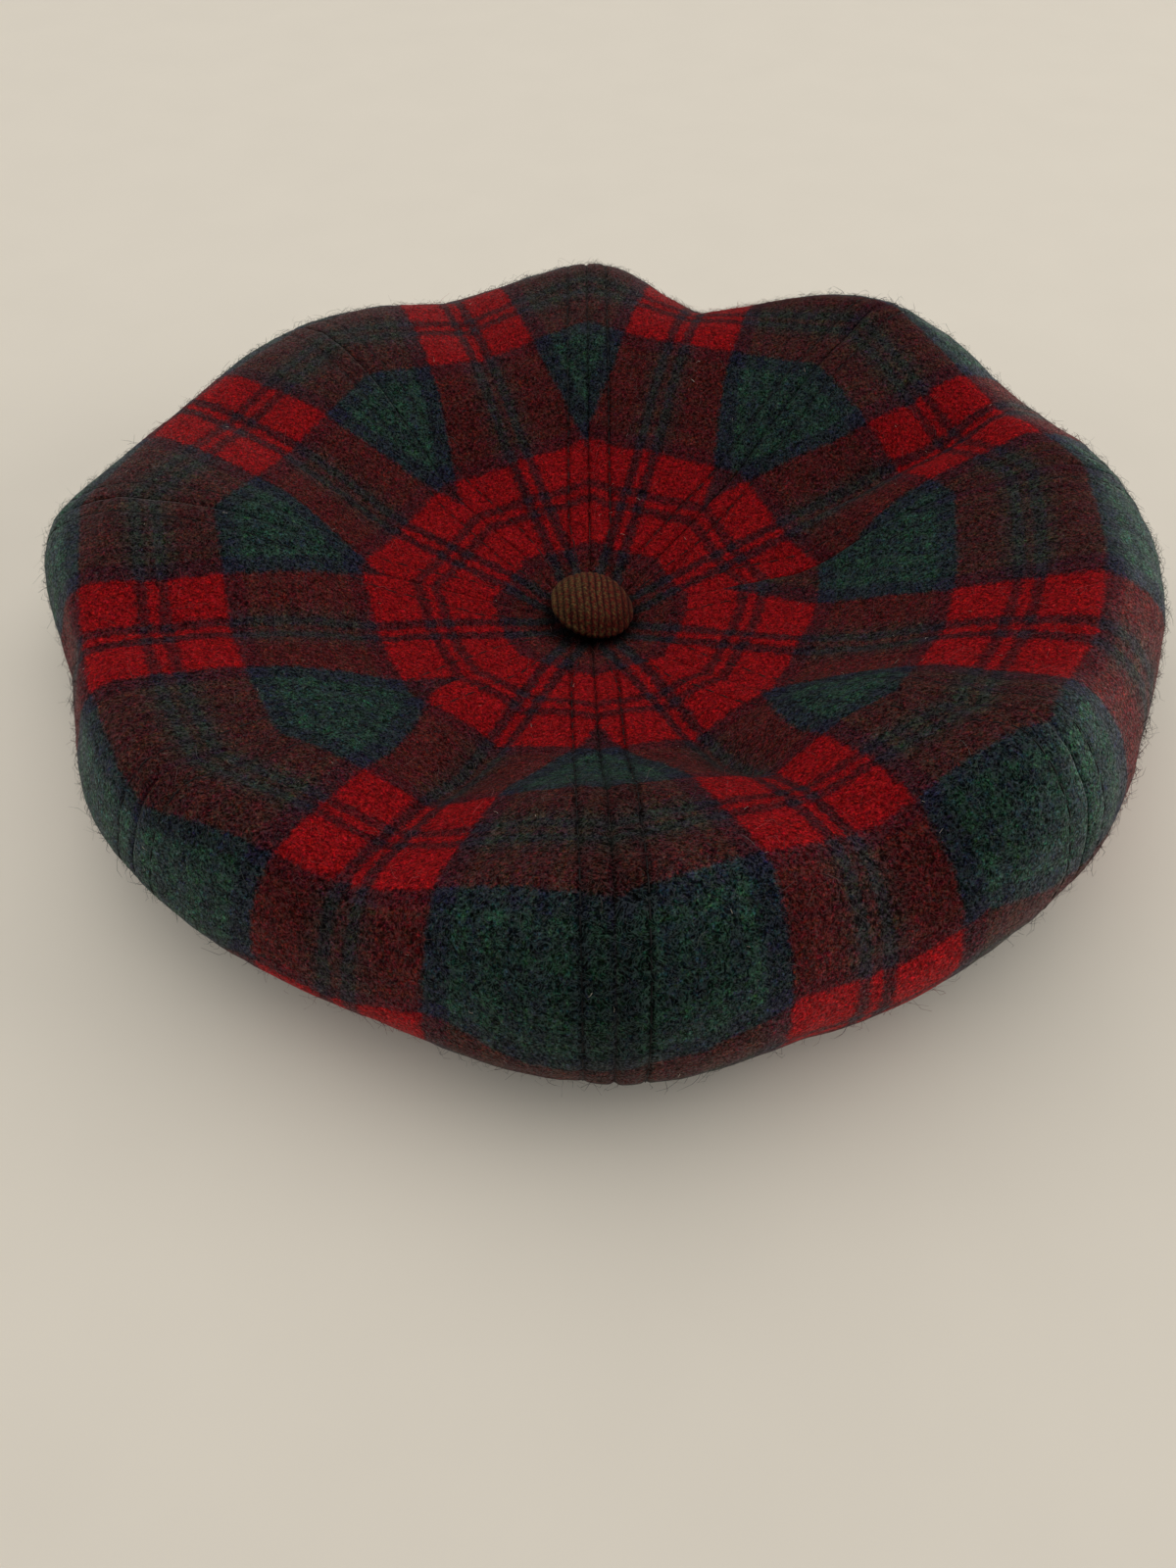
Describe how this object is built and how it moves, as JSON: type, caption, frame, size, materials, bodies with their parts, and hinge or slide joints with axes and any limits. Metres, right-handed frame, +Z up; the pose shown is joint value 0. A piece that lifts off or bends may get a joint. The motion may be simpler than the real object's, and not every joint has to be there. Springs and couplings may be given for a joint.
{
  "type": "tam o'shanter",
  "caption": "Round flat wool cap of wedge-shaped gores puffed into lobes, sunk in the middle round a covered button, turned under at the rim to a plain headband.",
  "frame": {"origin": "on the surface the hat lies on, under the middle of the button", "axes": "+Z up through the button, -Y to the hat's front as it lies in the picture, +X to its right"},
  "size_m": [0.3021, 0.2992, 0.0638],
  "materials": {
    "tartan_wool": "brushed wool tartan in red, dark green and navy",
    "band_wool": "plain navy wool",
    "ribbed_cloth": "ribbed brown cloth"
  },
  "bodies": {
    "root": {"crown_gore_1": "tartan_wool", "crown_gore_2": "tartan_wool", "crown_gore_3": "tartan_wool", "crown_gore_4": "tartan_wool", "crown_gore_5": "tartan_wool", "crown_gore_6": "tartan_wool", "crown_gore_7": "tartan_wool", "crown_gore_8": "tartan_wool", "headband": "band_wool", "button": "ribbed_cloth"}
  },
  "joints": []
}
